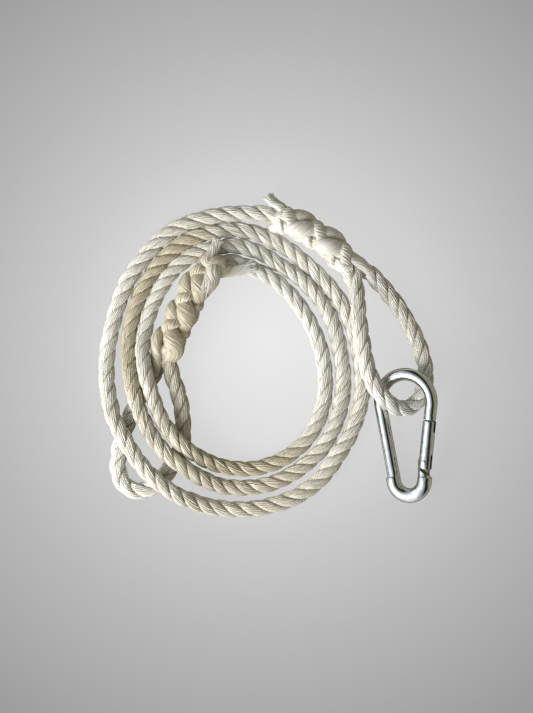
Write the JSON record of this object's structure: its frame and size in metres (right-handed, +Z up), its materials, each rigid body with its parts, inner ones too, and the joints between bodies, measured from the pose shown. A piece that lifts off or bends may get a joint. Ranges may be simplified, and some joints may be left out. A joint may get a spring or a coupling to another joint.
{
  "type": "coiled rope with snap hook",
  "caption": "Coil of white laid rope with a spliced eye at each end and a pear-shaped spring snap hook held in one eye.",
  "frame": {"origin": "under the middle of the coil's bounding box, on the surface it lies on", "axes": "+Z up, out of the coil's plane; the hook is on the +X side, its small end towards -Y"},
  "size_m": [0.2027, 0.1954, 0.0208],
  "materials": {
    "rope": "glossy twisted polypropylene yarns",
    "zinc_steel": "bright zinc plating"
  },
  "bodies": {
    "rope": {"rope_turn_inner": "rope", "rope_turn_middle": "rope", "rope_turn_outer": "rope", "hook_eye": "rope", "hook_splice_core": "rope", "hook_splice_strand_1": "rope", "hook_splice_strand_2": "rope", "hook_splice_strand_3": "rope", "far_eye": "rope", "far_splice_core": "rope", "far_splice_strand_1": "rope", "far_splice_strand_2": "rope", "far_splice_strand_3": "rope"},
    "snap_hook": {"hook_frame": "zinc_steel", "hinge_rivet": "zinc_steel"},
    "gate": {"gate_sleeve": "zinc_steel", "latch_pin": "zinc_steel", "gate_spring": "zinc_steel"},
    "plunger": {"spring_plunger": "zinc_steel"}
  },
  "joints": [
    {"name": "hook_swing", "type": "hinge", "parent": "rope", "child": "snap_hook", "pos_m": [0.0829, -0.028, 0.01084], "axis": [0, 0, 1], "range_deg": [-12, 20]},
    {"name": "gate_hinge", "type": "hinge", "parent": "snap_hook", "child": "gate", "pos_m": [0.09466, -0.06447, 0.01279], "axis": [-0.3682, -0.069, 0.9272], "range_deg": [0, 28], "stiffness_Nm_per_rad": 0.1, "springref_deg": -34.38},
    {"name": "plunger_slide", "type": "slide", "parent": "gate", "child": "plunger", "axis": [0.094, 0.9894, 0.111], "range_m": [0, 0.00075], "deforming": ["gate_spring"]}
  ],
  "couplings": [
    {"joint": "plunger_slide", "follows": "gate_hinge", "m_per_rad": 0.0015}
  ]
}
